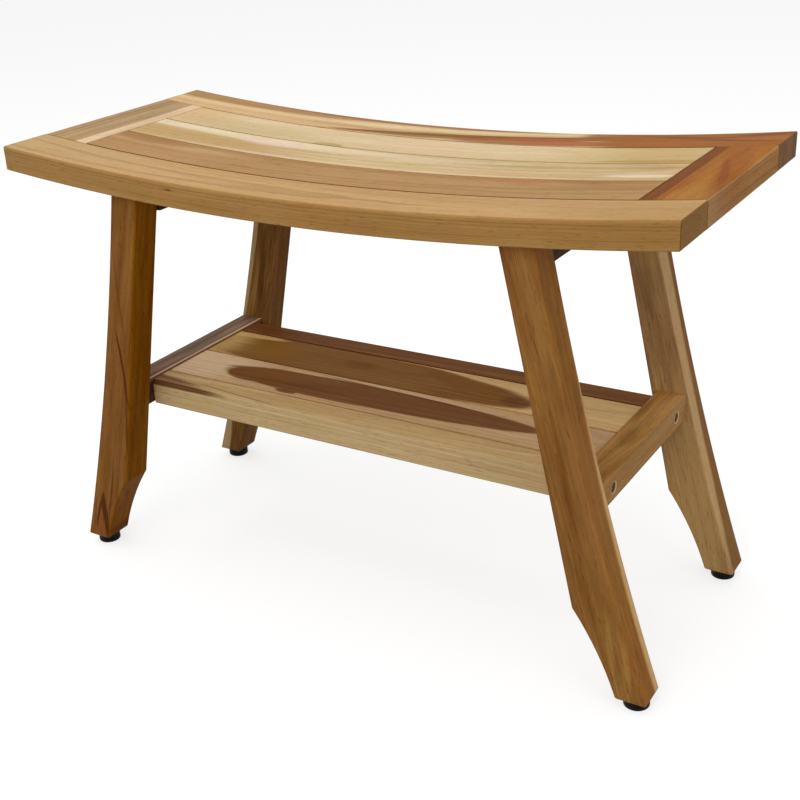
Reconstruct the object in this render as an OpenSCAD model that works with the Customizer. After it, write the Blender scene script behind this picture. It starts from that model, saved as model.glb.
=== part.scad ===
// Teak shower bench: a dished slatted seat on two splayed end frames, with a slatted
// shelf between them. Millimetres, +Z up, origin on the floor under the middle of the
// seat, X along the bench, front of the bench towards -Y.

/* [Seat] */
// Length of the seat
seat_len = 762; // [700:1:900]
// Depth of the seat, front to back
seat_depth = 333; // [310:1:380]
// Height of the seat's ends above the floor
seat_h = 501; // [440:1:560]
// Thickness of the seat's boards
seat_t = 26; // [22:0.5:32]
// How far the middle of the seat dips below its ends
seat_dip = 22.7; // [10:0.1:40]
// Width of the seat's front and rear rails
rail_w = 64; // [50:1:75]
// Width of the seat's end rails
end_rail_w = 60; // [45:1:80]
// Gap between two boards of the seat
seat_gap = 1.5; // [1:0.1:4]

/* [Seat joints] */
// Width of the tenon on each end of an end rail
tenon_w = 30; // [20:1:36]
// Thickness of the tenons and tongues in the seat
tenon_t = 9; // [6:0.5:12]
// Depth of a seat tenon in its rail
tenon_deep = 20; // [10:1:30]
// Depth of a slat's tongue in its end rail
tongue_deep = 8; // [5:0.5:15]
// Shoulder left on each side of a slat's tongue
tongue_shoulder = 10; // [5:1:20]

/* [Seat batten] */
// Width of the batten under the middle of the seat
batten_w = 40; // [30:1:60]
// Thickness of that batten
batten_t = 15; // [12:0.5:22]
// Batten's end to the seat's front or rear edge
batten_inset = 46; // [40:1:52]

/* [Legs] */
// Thickness of a leg, front to back
leg_t = 37; // [30:1:42]
// Leg's outer face to the seat's front or rear edge
leg_inset = 16; // [10:1:22]
// Seat's end to the inner edge of a leg's top
leg_top_set = 171; // [150:1:190]
// Width of a leg at its top
leg_top_w = 35; // [28:1:40]
// Foot's inner edge to the knee, where the scoop starts
knee_back = 46; // [36:0.5:54]
// Height of the knee above the floor
knee_h = 102; // [80:1:125]
// Seat's end to the outer edge of a leg's foot
foot_set = 17.5; // [4:0.5:32]
// Width of a leg at its foot
foot_w = 32.5; // [30:0.5:38]
// How far the outer edge bows in from a straight line
outer_bow = 7.4; // [4:0.1:12]
// How far the scoop above the foot is hollowed
scoop_bow = 3.8; // [2:0.1:8]

/* [End frames] */
// Width of the crossbar under the seat
crossbar_w = 35; // [30:1:42]
// Height of that crossbar at its inner face
crossbar_h = 27; // [22:1:34]
// Width of the stretcher beside the shelf
stretcher_w = 32; // [26:1:38]
// Height of the stretcher
stretcher_h = 30; // [28:0.5:38]
// Height of the stretcher's top above the floor
stretcher_top = 221.5; // [200:0.5:260]
// Seat's end to a stretcher's outer face
stretcher_set = 81; // [76:0.5:86]
// Thickness of the tenons of crossbars and stretchers
frame_tenon_t = 12; // [8:1:16]
// Height of those tenons
frame_tenon_h = 18; // [12:1:22]
// Depth of a stretcher's tenons in the legs
stretcher_tenon_deep = 22; // [12:1:28]

/* [Shelf] */
// Width of the shelf's front and rear rails
shelf_rail_w = 30.5; // [28:0.5:40]
// Height of those rails
shelf_rail_h = 30; // [28:0.5:36]
// Legs' inner faces to the shelf's front and rear edges
shelf_set = 11.5; // [8:0.5:20]
// Thickness of the shelf's slats
shelf_t = 18; // [16:0.5:20]
// Stretcher's top to the shelf's surface
shelf_drop = 2; // [0.5:0.5:4]
// Gap between two boards of the shelf
shelf_gap = 1.5; // [1:0.1:4]
// Width of a cleat under the shelf
cleat_w = 22; // [18:1:26]
// Thickness of a cleat
cleat_t = 11; // [9:0.5:14]
// Width of a cleat's tenons in the rails
cleat_tenon_w = 14; // [10:1:16]
// Thickness of those tenons
cleat_tenon_t = 6; // [4:0.5:8]
// Depth of those tenons
cleat_tenon_deep = 10; // [6:0.5:11]

/* [Shelf bolts] */
// Diameter of a shelf bolt
bolt_d = 6; // [5:0.5:8]
// Length of the bolt's shank past its head
bolt_len = 58; // [50:1:66]
// Diameter of the bolt's head
bolt_head_d = 10; // [8:0.5:13]
// Height of the bolt's head
bolt_head_h = 5; // [4:0.5:8]
// Depth of the counterbore for the head
bolt_sink = 8; // [6:0.5:12]
// Width across flats of the head's socket
bolt_key = 4; // [3:0.5:6]
// Depth of a bolt's axis below the shelf's surface
bolt_down = 13.5; // [12:0.5:16]
// Diameter of a barrel nut
nut_d = 10; // [9:0.5:12]
// Length of a barrel nut
nut_len = 13; // [11:0.5:15]
// Shelf's end to the middle of a barrel nut
nut_in = 30; // [26:1:34]

/* [Screws and dowels] */
// Shank diameter of a wood screw
screw_d = 4; // [3:0.5:5]
// Head diameter of a wood screw
screw_head_d = 8; // [6:0.5:10]
// Length of the screws in the crossbars
crossbar_screw = 40; // [34:1:46]
// Depth of the counterbore for those screws' heads
crossbar_sink = 6; // [3:0.5:10]
// Length of the screws in the seat batten
batten_screw = 30; // [24:1:35]
// Length of the screws in the shelf cleats
cleat_screw = 24; // [18:1:27]
// Diameter of the dowel in a leg's top
dowel_d = 10; // [8:1:12]
// Length of that dowel
dowel_len = 36; // [28:1:44]
// Part of the dowel that stands in the seat's rail
dowel_up = 14; // [10:1:18]
// Wood left between that dowel and the crossbar's tenon
dowel_web = 2.5; // [2:0.5:4]

/* [Levelling feet] */
// Diameter of a foot's rubber pad
pad_d = 26; // [22:0.5:32]
// Height of the pad
pad_h = 12.5; // [8:0.5:18]
// Edge chamfer of the pad
pad_chamfer = 1.5; // [0.5:0.5:3]
// Diameter of a foot's threaded stem
stem_d = 8; // [6:1:10]
// Length of the stem above the pad
stem_len = 28; // [20:1:40]
// Diameter of the threaded insert in a leg
insert_d = 12; // [11:0.5:15]
// Length of the insert
insert_len = 16; // [10:1:25]

/* [Fits] */
// Clearance round a glued joint
glue_fit = 0.1; // [0.05:0.05:0.3]
// Clearance round a bolt or a screw in its hole
hole_fit = 0.1; // [0.05:0.05:0.3]
// Radial clearance of a foot's stem in its insert
stem_fit = 0.05; // [0.01:0.01:0.1]
// Gap at a slat's end
end_fit = 0.8; // [0.5:0.1:2]

/* [Hidden] */

$fn = 48;
curve_fn = 1440;
over = 1;

// Seat curve: both faces of the seat share one axis, parallel to Y, above the bench.
half_len = seat_len / 2;
half_depth = seat_depth / 2;
curve_r = (half_len * half_len + seat_dip * seat_dip) / (2 * seat_dip);
curve_z = seat_h - seat_dip + curve_r;
under_r = curve_r + seat_t;
function top_z(x) = curve_z - sqrt(curve_r * curve_r - x * x);
function under_z(x) = curve_z - sqrt(under_r * under_r - x * x);
function tilt(x) = asin(x / (curve_r + seat_t / 2));
function middle_z(x) = (top_z(x) + under_z(x)) / 2;

// Seat boards, front to back
slat_count = 3;
slat_zone = seat_depth - 2 * rail_w;
slat_w = (slat_zone - (slat_count + 1) * seat_gap) / slat_count;
end_in = half_len - end_rail_w;
end_mid = half_len - end_rail_w / 2;
function slat_y(i) = -half_depth + rail_w + seat_gap + i * (slat_w + seat_gap);
function slat_mid(i) = slat_y(i) + slat_w / 2;

// End frames
leg_front = -half_depth + leg_inset;
leg_back = leg_front + leg_t;
leg_mid = leg_front + leg_t / 2;
frame_half = -leg_back;
leg_bottom = pad_h;
leg_top_in = half_len - leg_top_set;
foot_out = half_len - foot_set;
foot_in = foot_out - foot_w;
foot_mid = foot_out - foot_w / 2;
knee_in = foot_in - knee_back;
crossbar_in = leg_top_in + 2;
crossbar_mid = crossbar_in + crossbar_w / 2;
// The tops of legs and crossbars lie in a plane that meets the seat along one line.
seat_touch = crossbar_mid;
seat_slope = asin(seat_touch / under_r);
function bearing_z(x) = under_z(seat_touch) + tan(seat_slope) * (x - seat_touch);
leg_top_out = leg_top_in + leg_top_w;
leg_top_z = bearing_z(leg_top_out);
crossbar_low = bearing_z(crossbar_in) - crossbar_h;
crossbar_tenon_deep = (leg_t - dowel_d) / 2 - dowel_web;
stretcher_low = stretcher_top - stretcher_h;
stretcher_out = half_len - stretcher_set;
stretcher_in = stretcher_out - stretcher_w;

// Arcs through two points a and b with the given bow
function dist(a, b) = sqrt(pow(b[0] - a[0], 2) + pow(b[1] - a[1], 2));
function arc_r(a, b, bow) = pow(dist(a, b), 2) / (8 * bow) + bow / 2;
// Centre of the circle through a and b that lies to the right of the line from a to b
function arc_centre(a, b, bow) =
    let (d = dist(a, b), r = arc_r(a, b, bow), n = [(b[1] - a[1]) / d, -(b[0] - a[0]) / d])
    (a + b) / 2 + (r - bow) * n;
outer_foot = [foot_out, leg_bottom];
outer_top = [leg_top_out, leg_top_z];
inner_knee = [knee_in, knee_h];
inner_foot = [foot_in, leg_bottom];

// Shelf, front to back
shelf_top = stretcher_top - shelf_drop;
shelf_low = shelf_top - shelf_t;
shelf_rail_low = shelf_top - shelf_rail_h;
shelf_half = stretcher_in;
shelf_edge = frame_half - shelf_set;
shelf_inner = shelf_edge - shelf_rail_w;
shelf_slat_w = shelf_inner - 1.5 * shelf_gap;
shelf_slat_y = [-shelf_inner + shelf_gap, shelf_gap / 2];
bolt_z = shelf_top - bolt_down;
bolt_y = shelf_edge - shelf_rail_w / 2;
cleat_screw_rows = [for (y = shelf_slat_y, t = [1, 3]) y + t * shelf_slat_w / 4];
cleat_columns = [-shelf_half + cleat_w / 2, 0, shelf_half - cleat_w / 2];

// Screws under the seat
crossbar_rows = [for (i = [0:slat_count - 1]) slat_mid(i)];
batten_half = half_depth - batten_inset;
batten_rows = concat([-batten_half + screw_head_d], crossbar_rows, [batten_half - screw_head_d]);

insert_z = leg_bottom;
hole_end = 2;

// ---- shapes used by several pieces ----

// The space between the seat's two curved faces, from y0 to y1
module seat_space(y0, y1) {
    translate([0, y1, curve_z]) rotate([90, 0, 0]) difference() {
        cylinder(r = under_r, h = y1 - y0, $fn = curve_fn);
        translate([0, 0, -over]) cylinder(r = curve_r, h = y1 - y0 + 2 * over, $fn = curve_fn);
    }
}

// A board of the seat
module seat_board(x0, x1, y0, y1) {
    intersection() {
        translate([x0, y0, 0]) cube([x1 - x0, y1 - y0, curve_z / 2]);
        seat_space(y0 - over, y1 + over);
    }
}

// A block centred at x in the middle of the seat's thickness, tilted as the seat is there
module seat_block(x, size, y) {
    translate([x, y, middle_z(x)]) rotate([0, -tilt(x), 0])
        translate([-size[0] / 2, -size[1] / 2, -size[2] / 2]) cube(size);
}

// The two tenons of an end rail on side s, grown by g
module end_rail_tenons(s, g) {
    for (t = [-1, 1])
        seat_block(s * end_mid, [tenon_w + 2 * g, tenon_deep + over + g, tenon_t + 2 * g],
                   t * (half_depth - rail_w + (tenon_deep - over + g) / 2));
}

// A slat's tongue on side s, grown by g
module slat_tongue(i, s, g) {
    seat_block(s * (end_in + (tongue_deep - end_fit - over + g) / 2),
               [tongue_deep + end_fit + over + g, slat_w - 2 * tongue_shoulder + 2 * g, tenon_t + 2 * g],
               slat_mid(i));
}

module seat_rail(s) {
    y0 = s < 0 ? -half_depth : half_depth - rail_w;
    difference() {
        seat_board(-half_len, half_len, y0, y0 + rail_w);
        for (e = [-1, 1]) end_rail_tenons(e, glue_fit);
        for (e = [-1, 1]) leg_dowel(e, s, glue_fit);
        batten_screw_holes();
    }
}

module end_rail(s) {
    x0 = s < 0 ? -half_len : end_in;
    difference() {
        union() {
            seat_board(x0, x0 + end_rail_w, -half_depth + rail_w, half_depth - rail_w);
            end_rail_tenons(s, 0);
        }
        for (i = [0:slat_count - 1]) slat_tongue(i, s, glue_fit);
    }
}

module seat_slat(i) {
    difference() {
        union() {
            seat_board(-end_in + end_fit, end_in - end_fit, slat_y(i), slat_y(i) + slat_w);
            for (s = [-1, 1]) slat_tongue(i, s, 0);
        }
        crossbar_screw_holes();
        batten_screw_holes();
    }
}

// A wood screw standing on z = 0, head down, grown by g
module wood_screw(len, g) {
    cylinder(d = screw_d + 2 * g, h = len + g, $fn = 32);
    translate([0, 0, -g]) cylinder(d = screw_head_d + 2 * g, h = screw_d / 2 + 2 * g, $fn = 32);
}

module seat_screw(x, y, g) {
    z = crossbar_low + crossbar_sink;
    translate([x, y, z]) wood_screw(crossbar_screw, g);
}

module crossbar_screw_holes() {
    for (s = [-1, 1], y = crossbar_rows) seat_screw(s * crossbar_mid, y, hole_fit);
}

batten_low = under_z(0) - batten_t;
module batten_screw_row(g) {
    for (y = batten_rows) translate([0, y, batten_low]) wood_screw(batten_screw, g);
}
module batten_screw_holes() { batten_screw_row(hole_fit); }

module cleat_screw_row(x, g) {
    for (y = cleat_screw_rows) translate([x, y, shelf_low - cleat_t]) wood_screw(cleat_screw, g);
}

// The dowel in the top of the leg on side s, at the front (f = -1) or rear (f = 1)
module leg_dowel(s, f, g) {
    x = (leg_top_in + leg_top_out) / 2;
    translate([s * x, -f * leg_mid, bearing_z(x) + dowel_up - dowel_len - g])
        cylinder(d = dowel_d + 2 * g, h = dowel_len + 2 * g);
}

// Front view of the right leg, in X and Z
module leg_outline() {
    difference() {
        polygon([[leg_top_in, bearing_z(leg_top_in)], outer_top, [foot_out + outer_bow, leg_top_z],
                 [foot_out + outer_bow, leg_bottom], inner_foot, inner_knee]);
        translate(arc_centre(outer_foot, outer_top, outer_bow))
            circle(r = arc_r(outer_foot, outer_top, outer_bow), $fn = curve_fn);
        translate(arc_centre(inner_knee, inner_foot, scoop_bow))
            circle(r = arc_r(inner_knee, inner_foot, scoop_bow), $fn = curve_fn / 4);
    }
}

// Stem and insert hole of a foot under the leg on side s, at the front or rear
module foot_at(s, f) { translate([s * foot_mid, -f * leg_mid, 0]) children(); }

module leg(s, f) {
    y0 = f < 0 ? leg_front : -leg_back;
    difference() {
        translate([0, y0 + leg_t, 0]) rotate([90, 0, 0]) linear_extrude(leg_t)
            mirror([s < 0 ? 1 : 0, 0]) leg_outline();
        crossbar_tenons(s, glue_fit);
        stretcher_tenons(s, glue_fit);
        leg_dowel(s, f, glue_fit);
        foot_at(s, f) {
            translate([0, 0, leg_bottom - over])
                cylinder(d = insert_d + 2 * glue_fit, h = insert_len + over + glue_fit);
            cylinder(d = stem_d + 2 * hole_end, h = pad_h + stem_len + hole_end);
        }
    }
}

// A tenon pair that joins the member centred at x, z to the legs of one end frame
module frame_tenons(x, z, deep, g) {
    for (t = [-1, 1])
        translate([x - frame_tenon_t / 2 - g, t > 0 ? frame_half - over : -frame_half - deep - g,
                   z - frame_tenon_h / 2 - g])
            cube([frame_tenon_t + 2 * g, deep + over + g, frame_tenon_h + 2 * g]);
}
module crossbar_tenons(s, g) {
    frame_tenons(s * crossbar_mid, crossbar_low + crossbar_h / 2, crossbar_tenon_deep, g);
}
module stretcher_tenons(s, g) {
    frame_tenons(s * (stretcher_in + stretcher_w / 2), stretcher_low + stretcher_h / 2,
                 stretcher_tenon_deep, g);
}

module crossbar(s) {
    x1 = crossbar_in + crossbar_w;
    difference() {
        union() {
            translate([0, frame_half, 0]) rotate([90, 0, 0]) linear_extrude(2 * frame_half)
                mirror([s < 0 ? 1 : 0, 0])
                polygon([[crossbar_in, crossbar_low], [x1, crossbar_low],
                         [x1, bearing_z(x1)], [crossbar_in, bearing_z(crossbar_in)]]);
            crossbar_tenons(s, 0);
        }
        for (y = crossbar_rows) {
            seat_screw(s * crossbar_mid, y, hole_fit);
            translate([s * crossbar_mid, y, crossbar_low - over])
                cylinder(d = screw_head_d + 2 * hole_fit, h = crossbar_sink + over);
        }
    }
}

// One shelf bolt on side s at row y, grown by g; the head's outer face looks outwards
module shelf_bolt(s, y, g) {
    x0 = stretcher_out - bolt_sink;
    mirror([s < 0 ? 1 : 0, 0, 0]) translate([x0, y, bolt_z]) rotate([0, 90, 0]) {
        translate([0, 0, -bolt_len - g]) cylinder(d = bolt_d + 2 * g, h = bolt_len + over + g);
        cylinder(d = bolt_head_d + 2 * g, h = bolt_head_h);
    }
}

module stretcher(s) {
    x0 = s < 0 ? -stretcher_out : stretcher_in;
    difference() {
        union() {
            translate([x0, -frame_half, stretcher_low]) cube([stretcher_w, 2 * frame_half, stretcher_h]);
            stretcher_tenons(s, 0);
        }
        for (t = [-1, 1]) {
            shelf_bolt(s, t * bolt_y, hole_fit);
            mirror([s < 0 ? 1 : 0, 0, 0]) translate([stretcher_out - bolt_sink, t * bolt_y, bolt_z])
                rotate([0, 90, 0]) cylinder(d = bolt_head_d + 2 * hole_fit, h = bolt_sink + over);
        }
    }
}

module barrel_nut(s, t) {
    translate([s * (shelf_half - nut_in), t * bolt_y, bolt_z - nut_len / 2])
        cylinder(d = nut_d, h = nut_len);
}

// A cleat's tenons, grown by g
module cleat_tenons(x, g) {
    for (t = [-1, 1])
        translate([x - cleat_tenon_w / 2 - g,
                   t > 0 ? shelf_inner - over : -shelf_inner - cleat_tenon_deep - g,
                   shelf_low - (cleat_t + cleat_tenon_t) / 2 - g])
            cube([cleat_tenon_w + 2 * g, cleat_tenon_deep + over + g, cleat_tenon_t + 2 * g]);
}

// The shelf's rail at the front (t = -1) or rear (t = 1)
module shelf_rail(t) {
    difference() {
        translate([-shelf_half, t < 0 ? -shelf_edge : shelf_inner, shelf_rail_low])
            cube([2 * shelf_half, shelf_rail_w, shelf_rail_h]);
        for (x = cleat_columns) cleat_tenons(x, glue_fit);
        for (s = [-1, 1]) {
            shelf_bolt(s, t * bolt_y, hole_fit);
            translate([s * (shelf_half - nut_in), t * bolt_y, shelf_rail_low - over])
                cylinder(d = nut_d + 2 * glue_fit,
                         h = bolt_z + nut_len / 2 + glue_fit - shelf_rail_low + over);
        }
    }
}

module shelf_slat(i) {
    difference() {
        translate([-shelf_half, shelf_slat_y[i], shelf_low])
            cube([2 * shelf_half, shelf_slat_w, shelf_t]);
        for (x = cleat_columns) cleat_screw_row(x, hole_fit);
    }
}

module shelf_cleat(i) {
    x = cleat_columns[i];
    difference() {
        union() {
            translate([x - cleat_w / 2, -shelf_inner, shelf_low - cleat_t])
                cube([cleat_w, 2 * shelf_inner, cleat_t]);
            cleat_tenons(x, 0);
        }
        cleat_screw_row(x, hole_fit);
    }
}

module foot_pad(s, f) {
    foot_at(s, f) rotate_extrude()
        polygon([[0, 0], [pad_d / 2 - pad_chamfer, 0], [pad_d / 2, pad_chamfer],
                 [pad_d / 2, pad_h - pad_chamfer], [pad_d / 2 - pad_chamfer, pad_h], [0, pad_h]]);
}

module foot_stem(s, f) {
    foot_at(s, f) translate([0, 0, pad_h]) cylinder(d = stem_d, h = stem_len);
}

// ---- pieces ----

module seat_front_rail() { color("#c99a5b") seat_rail(-1); }
module seat_rear_rail() { color("#a8693c") seat_rail(1); }
module seat_left_end_rail() { color("#b58e5c") end_rail(-1); }
module seat_right_end_rail() { color("#b4713b") end_rail(1); }
module seat_front_slat() { color("#c08a55") seat_slat(0); }
module seat_middle_slat() { color("#d3ac74") seat_slat(1); }
module seat_rear_slat() { color("#dcc08c") seat_slat(2); }
module seat_batten() {
    color("#b98a55") difference() {
        translate([-batten_w / 2, -batten_half, batten_low]) cube([batten_w, 2 * batten_half, batten_t]);
        batten_screw_holes();
    }
}
module left_front_leg() { color("#a6733a") leg(-1, -1); }
module right_front_leg() { color("#b98345") leg(1, -1); }
module left_rear_leg() { color("#9b6b3c") leg(-1, 1); }
module right_rear_leg() { color("#b0844f") leg(1, 1); }
module left_crossbar() { color("#8a5c33") crossbar(-1); }
module right_crossbar() { color("#8a5c33") crossbar(1); }
module left_stretcher() { color("#8f6f52") stretcher(-1); }
module right_stretcher() { color("#b98a55") stretcher(1); }
module shelf_front_rail() { color("#d9bb83") shelf_rail(-1); }
module shelf_front_slat() { color("#d4b080") shelf_slat(0); }
module shelf_rear_slat() { color("#b08a50") shelf_slat(1); }
module shelf_rear_rail() { color("#8a4f2e") shelf_rail(1); }
module left_shelf_cleat() { color("#a87c4c") shelf_cleat(0); }
module middle_shelf_cleat() { color("#a87c4c") shelf_cleat(1); }
module right_shelf_cleat() { color("#a87c4c") shelf_cleat(2); }

module shelf_bolts(s) {
    for (t = [-1, 1]) difference() {
        shelf_bolt(s, t * bolt_y, 0);
        mirror([s < 0 ? 1 : 0, 0, 0])
            translate([stretcher_out - bolt_sink + bolt_head_h / 2, t * bolt_y, bolt_z]) rotate([0, 90, 0])
            cylinder(d = bolt_key / cos(30), h = bolt_head_h, $fn = 6);
    }
}
module left_shelf_bolts() { color("#8d8a84") shelf_bolts(-1); }
module right_shelf_bolts() { color("#8d8a84") shelf_bolts(1); }
module barrel_nuts() {
    color("#9a968e") for (s = [-1, 1], t = [-1, 1]) difference() {
        barrel_nut(s, t);
        shelf_bolt(s, t * bolt_y, stem_fit);
    }
}
module leg_dowels() {
    color("#c9a069") for (s = [-1, 1], f = [-1, 1]) leg_dowel(s, f, 0);
}
module left_seat_screws() {
    color("#b0aca4") for (y = crossbar_rows) seat_screw(-crossbar_mid, y, 0);
}
module right_seat_screws() {
    color("#b0aca4") for (y = crossbar_rows) seat_screw(crossbar_mid, y, 0);
}
module batten_screws() { color("#b0aca4") batten_screw_row(0); }
module cleat_screws() { color("#b0aca4") for (x = cleat_columns) cleat_screw_row(x, 0); }
module foot_inserts() {
    color("#b59a4c") for (s = [-1, 1], f = [-1, 1]) foot_at(s, f) difference() {
        translate([0, 0, insert_z]) cylinder(d = insert_d, h = insert_len);
        translate([0, 0, insert_z - over]) cylinder(d = stem_d + 2 * stem_fit, h = insert_len + 2 * over);
    }
}
module left_front_foot_pad() { color("#1b1b1d") foot_pad(-1, -1); }
module right_front_foot_pad() { color("#1b1b1d") foot_pad(1, -1); }
module left_rear_foot_pad() { color("#1b1b1d") foot_pad(-1, 1); }
module right_rear_foot_pad() { color("#1b1b1d") foot_pad(1, 1); }
module left_front_foot_stem() { color("#a8a6a2") foot_stem(-1, -1); }
module right_front_foot_stem() { color("#a8a6a2") foot_stem(1, -1); }
module left_rear_foot_stem() { color("#a8a6a2") foot_stem(-1, 1); }
module right_rear_foot_stem() { color("#a8a6a2") foot_stem(1, 1); }

seat_front_rail();
seat_rear_rail();
seat_left_end_rail();
seat_right_end_rail();
seat_front_slat();
seat_middle_slat();
seat_rear_slat();
seat_batten();
left_front_leg();
right_front_leg();
left_rear_leg();
right_rear_leg();
left_crossbar();
right_crossbar();
left_stretcher();
right_stretcher();
shelf_front_rail();
shelf_front_slat();
shelf_rear_slat();
shelf_rear_rail();
left_shelf_cleat();
middle_shelf_cleat();
right_shelf_cleat();
left_shelf_bolts();
right_shelf_bolts();
barrel_nuts();
leg_dowels();
left_seat_screws();
right_seat_screws();
batten_screws();
cleat_screws();
foot_inserts();
left_front_foot_pad();
right_front_foot_pad();
left_rear_foot_pad();
right_rear_foot_pad();
left_front_foot_stem();
right_front_foot_stem();
left_rear_foot_stem();
right_rear_foot_stem();
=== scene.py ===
# Teak shower bench: rounded boards, teak grain, levelling feet, pale studio.
# Lengths are metres, in the frame's own axes: X along the bench, front towards -Y, Z up.
import math
import bpy
import numpy as np
from mathutils import Matrix


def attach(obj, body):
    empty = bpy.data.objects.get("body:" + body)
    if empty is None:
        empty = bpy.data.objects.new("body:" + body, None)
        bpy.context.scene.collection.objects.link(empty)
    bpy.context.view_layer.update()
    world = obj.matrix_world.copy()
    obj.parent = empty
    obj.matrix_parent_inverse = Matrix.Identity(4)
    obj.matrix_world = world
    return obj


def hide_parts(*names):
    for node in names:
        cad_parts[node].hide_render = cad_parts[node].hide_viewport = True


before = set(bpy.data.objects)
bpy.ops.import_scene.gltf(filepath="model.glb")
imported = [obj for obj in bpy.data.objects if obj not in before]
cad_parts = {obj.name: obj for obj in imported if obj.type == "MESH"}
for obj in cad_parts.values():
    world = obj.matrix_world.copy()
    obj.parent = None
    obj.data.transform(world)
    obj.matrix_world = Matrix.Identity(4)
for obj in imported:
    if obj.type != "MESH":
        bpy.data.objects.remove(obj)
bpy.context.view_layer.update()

cameraSet = {
    "place": (0.69570, -1.09445, 0.78923),
    "turn": 0.585872,        # round the bench from the front, radians
    "drop": 0.415573,        # below level, radians
    "roll": -0.058228,
    "picture": 800,          # width and height of the picture, in pixels
    "focal": 1257.28,        # in the same pixels
    "centre": (370.29, 390.41),
    "sensor": 36.0,          # millimetres
    "clip": (0.05, 50),
}


def addObject(name, data):
    obj = bpy.data.objects.new(name, data)
    bpy.context.scene.collection.objects.link(obj)
    return obj


def standAt(obj, axes, place):
    # turns a lamp or camera so that its local axes are the three given ones
    m = np.eye(4)
    m[:3, :3] = np.stack(axes, 1)
    m[:3, 3] = place
    obj.matrix_world = Matrix(m.tolist())


def makeCamera(c):
    # local X points right, local Y up and local -Z along the view
    ct, st = math.cos(c["turn"]), math.sin(c["turn"])
    cd, sd = math.cos(c["drop"]), math.sin(c["drop"])
    cr, sr = math.cos(c["roll"]), math.sin(c["roll"])
    ahead = np.array([-st * cd, ct * cd, -sd])
    right = np.array([ct, st, 0.0])
    up = np.cross(right, ahead)
    data = bpy.data.cameras.new("benchCamera")
    data.sensor_width = c["sensor"]
    data.lens = c["focal"] / c["picture"] * c["sensor"]
    data.shift_x = 0.5 - c["centre"][0] / c["picture"]
    data.shift_y = c["centre"][1] / c["picture"] - 0.5
    data.clip_start, data.clip_end = c["clip"]
    cam = addObject("benchCamera", data)
    standAt(cam, (cr * right + sr * up, -sr * right + cr * up, -ahead), c["place"])
    bpy.context.scene.camera = cam


makeCamera(cameraSet)
print("camera made")


# Shader expressions: a Wire is one output socket, and arithmetic on it adds Math nodes.

class Wire:
    def __init__(self, tree, socket=None):
        self.tree, self.socket = tree, socket

    def add(self, kind, setup=None, feeds=None, out=0):
        # settings first, then the sockets' values or links
        n = self.tree.nodes.new(kind)
        for key, value in (setup or {}).items():
            if key == "stops":
                ramp = n.color_ramp
                while len(ramp.elements) < len(value):
                    ramp.elements.new(0.5)
                for stop, (place, colour) in zip(ramp.elements, value):
                    stop.position, stop.color = place, colour
            else:
                setattr(n, key, value)
        for key, value in (feeds or {}).items():
            if isinstance(value, Wire):
                self.tree.links.new(value.socket, n.inputs[key])
            else:
                n.inputs[key].default_value = value
        return Wire(self.tree, n.outputs[out])

    def calc(self, op, *others, clamp=False):
        return self.add("ShaderNodeMath", {"operation": op, "use_clamp": clamp},
                        dict(enumerate((self,) + others)))

    def __add__(self, o):
        return self.calc("ADD", o)
    __radd__ = __add__

    def __mul__(self, o):
        return self.calc("MULTIPLY", o)
    __rmul__ = __mul__

    def __sub__(self, o):
        return self.calc("SUBTRACT", o)

    def __rsub__(self, o):
        return self.add("ShaderNodeMath", {"operation": "SUBTRACT"}, {0: o, 1: self})

    def __truediv__(self, o):
        return self.calc("DIVIDE", o)

    def __abs__(self):
        return self.calc("ABSOLUTE")

    def clip(self):
        return self.calc("ADD", 0.0, clamp=True)

    def root(self):
        return self.calc("SQRT")

    def between(self, low, high):
        # 0 at low, 1 at high, eased
        return self.add("ShaderNodeMapRange", {"interpolation_type": "SMOOTHSTEP"},
                        {"Value": self, "From Min": low, "From Max": high})

    def part(self, i):
        return self.add("ShaderNodeSeparateXYZ", None, {0: self}, i)

    def scaled(self, x, y, z):
        return self.add("ShaderNodeVectorMath", {"operation": "MULTIPLY"}, {0: self, 1: (x, y, z)})

    def moved(self, x, y, z):
        return self.add("ShaderNodeVectorMath", {"operation": "ADD"}, {0: self, 1: (x, y, z)})

    def noise(self, detail=2.0, rough=0.5, ways="3D"):
        # 0 to 1 about a middle of 0.5; self is a place, or one number where ways is "1D"
        return self.add("ShaderNodeTexNoise", {"noise_dimensions": ways},
                        {"W" if ways == "1D" else "Vector": self, "Scale": 1.0,
                         "Detail": detail, "Roughness": rough})

    def blend(self, first, second, kind="MIX"):
        # colours: self is the factor
        return self.add("ShaderNodeMix", {"data_type": "RGBA", "blend_type": kind},
                        {0: self, 6: first, 7: second}, 2)

    def bump(self, strength, depth):
        return self.add("ShaderNodeBump", None,
                        {"Strength": strength, "Distance": depth, "Height": self}, "Normal")


def linear(code):
    # a colour as written on a screen, such as "c29a67", in linear light
    parts = [int(code[i:i + 2], 16) / 255 for i in (0, 2, 4)]
    return tuple(v / 12.92 if v <= 0.04045 else ((v + 0.055) / 1.055) ** 2.4 for v in parts) + (1.0,)


def newMaterial(name):
    m = bpy.data.materials.new(name)
    m.use_nodes = True
    tree = m.node_tree
    tree.nodes.clear()
    shader = tree.nodes.new("ShaderNodeBsdfPrincipled")
    end = tree.nodes.new("ShaderNodeOutputMaterial")
    tree.links.new(shader.outputs[0], end.inputs[0])
    return m, Wire(tree), shader


def feed(tree, shader, **wires):
    for key, value in wires.items():
        target = shader.inputs[key.replace("_", " ")]
        if isinstance(value, Wire):
            tree.links.new(value.socket, target)
        else:
            target.default_value = value


# Teak. "plank" is an attribute of each board: metres along the grain, across the face,
# and through the thickness. The rings are circles round a wavering line, the log's heart.

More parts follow.
